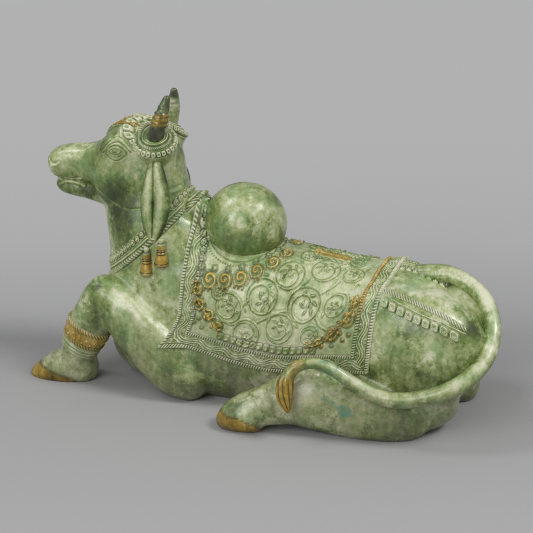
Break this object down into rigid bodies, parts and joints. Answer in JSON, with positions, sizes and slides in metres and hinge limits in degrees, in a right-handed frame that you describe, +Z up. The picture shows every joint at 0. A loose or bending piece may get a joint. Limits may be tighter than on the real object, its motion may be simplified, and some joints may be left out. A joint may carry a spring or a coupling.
{
  "type": "nandi bull figure",
  "caption": "Recumbent humped bull figure in cast brass, foreleg raised, with saddle cloth, bead strings, bells, ringed horns and a tail curled over the hind leg.",
  "frame": {"origin": "middle of the figure's extent in X and Y, on the plane it rests on", "axes": "+X from the head to the rump, so the bull faces -X; +Z up; -Y is its left side, the side with the raised knee and the tail"},
  "size_m": [0.4052, 0.186, 0.2488],
  "materials": {
    "patinated_brass": "waxed green patina with pale cream-green wash in the recesses and bare brass on hooves, tail tuft and beads"
  },
  "bodies": {
    "root": {"nandi_bull": "patinated_brass"}
  },
  "joints": []
}
